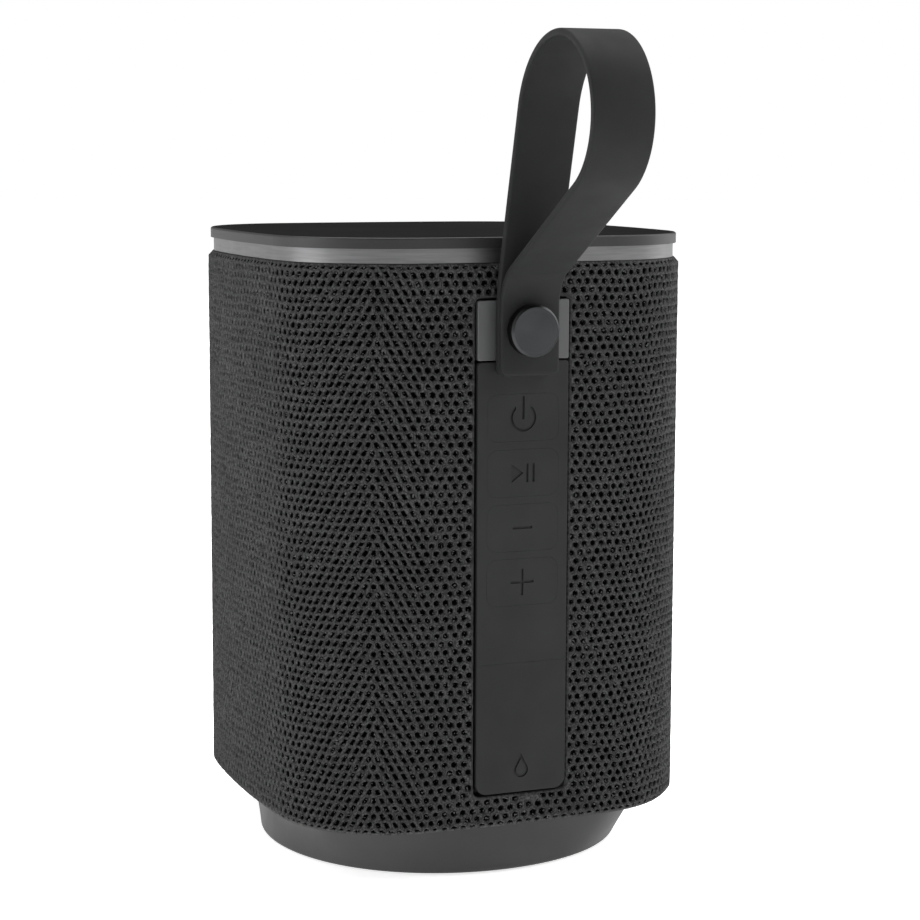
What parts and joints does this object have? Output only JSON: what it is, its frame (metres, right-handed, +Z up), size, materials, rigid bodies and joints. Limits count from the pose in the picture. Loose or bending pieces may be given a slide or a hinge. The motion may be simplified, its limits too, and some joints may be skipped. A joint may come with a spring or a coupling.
{
  "type": "portable speaker",
  "caption": "Portable fabric-covered speaker with a tapered round foot, a soft strip of push keys with a port flap, and a looped carrying strap pinned by a knob",
  "frame": {"origin": "middle of the foot's resting face", "axes": "+Z up along the body, -Y out of the control strip, +Y out of the driver, +X to the right as the strip is read"},
  "size_m": [0.0914, 0.1357, 0.1714],
  "materials": {
    "fabric": "three-dimensional mesh, matt",
    "ring_metal": "satin",
    "lid_plastic": "fine texture",
    "foot_plastic": "satin",
    "rubber_black": "matt",
    "silicone_strip": "soft matt",
    "silicone_strap": "soft matt",
    "plate_plastic": "satin",
    "knob_metal": "turned, dark anodised",
    "inner_plastic": "moulded",
    "screw_steel": "zinc plated",
    "magnet_iron": "black",
    "coil_copper": "wound",
    "board_green": "solder mask",
    "chip_black": "moulded",
    "cell_wrap": "shrink wrap"
  },
  "bodies": {
    "housing": {"fabric_sleeve": "fabric", "trim_ring": "ring_metal", "lid": "lid_plastic", "base_shell": "foot_plastic", "foot_pad": "rubber_black", "enclosure_seal": "rubber_black", "lid_seal": "rubber_black", "driver_gasket": "rubber_black", "control_strip": "silicone_strip", "strap_plate": "plate_plastic", "knob": "knob_metal", "grille_shell": "inner_plastic", "top_frame": "inner_plastic", "enclosure": "inner_plastic", "enclosure_cap": "inner_plastic", "battery_cradle": "inner_plastic", "control_tray": "inner_plastic", "key_switches": "inner_plastic", "aux_socket": "inner_plastic", "base_screws": "screw_steel", "cap_screws": "screw_steel", "tray_screws": "screw_steel", "strap_stud": "screw_steel", "stud_washer": "screw_steel", "stud_nut": "screw_steel", "driver_basket": "screw_steel", "radiator_frame": "screw_steel", "usb_socket": "screw_steel", "driver_magnet": "magnet_iron", "main_board": "board_green", "key_board": "board_green", "port_board": "board_green", "main_board_chips": "chip_black", "battery_cell_left": "cell_wrap", "battery_cell_right": "cell_wrap"},
    "strap": {"strap": "silicone_strap"},
    "power_key": {"key_power": "silicone_strip"},
    "play_key": {"key_play": "silicone_strip"},
    "minus_key": {"key_minus": "silicone_strip"},
    "plus_key": {"key_plus": "silicone_strip"},
    "flap": {"port_flap": "silicone_strip"},
    "cone": {"driver_cone": "inner_plastic", "voice_coil": "coil_copper", "driver_surround": "rubber_black"},
    "radiator": {"radiator_plate": "screw_steel", "radiator_surround": "rubber_black"}
  },
  "joints": [
    {"name": "strap_swivel", "type": "hinge", "parent": "housing", "child": "strap", "pos_m": [0, -0.0459, 0.1137], "axis": [0, -1, 0], "range_deg": [-90, 90]},
    {"name": "power_press", "type": "slide", "parent": "housing", "child": "power_key", "axis": [0, 1, 0], "range_m": [0, 0.0004], "stiffness_N_per_m": 3000},
    {"name": "play_press", "type": "slide", "parent": "housing", "child": "play_key", "axis": [0, 1, 0], "range_m": [0, 0.0004], "stiffness_N_per_m": 3000},
    {"name": "minus_press", "type": "slide", "parent": "housing", "child": "minus_key", "axis": [0, 1, 0], "range_m": [0, 0.0004], "stiffness_N_per_m": 3000},
    {"name": "plus_press", "type": "slide", "parent": "housing", "child": "plus_key", "axis": [0, 1, 0], "range_m": [0, 0.0004], "stiffness_N_per_m": 3000},
    {"name": "flap_hinge", "type": "hinge", "parent": "housing", "child": "flap", "pos_m": [0, -0.0459, 0.046], "axis": [-1, 0, 0], "range_deg": [0, 120]},
    {"name": "cone_travel", "type": "slide", "parent": "housing", "child": "cone", "axis": [0, 1, 0], "range_m": [-0.001, 0.001], "stiffness_N_per_m": 1500},
    {"name": "radiator_travel", "type": "slide", "parent": "housing", "child": "radiator", "axis": [0, 1, 0], "range_m": [-0.0015, 0.0015], "stiffness_N_per_m": 1000}
  ]
}
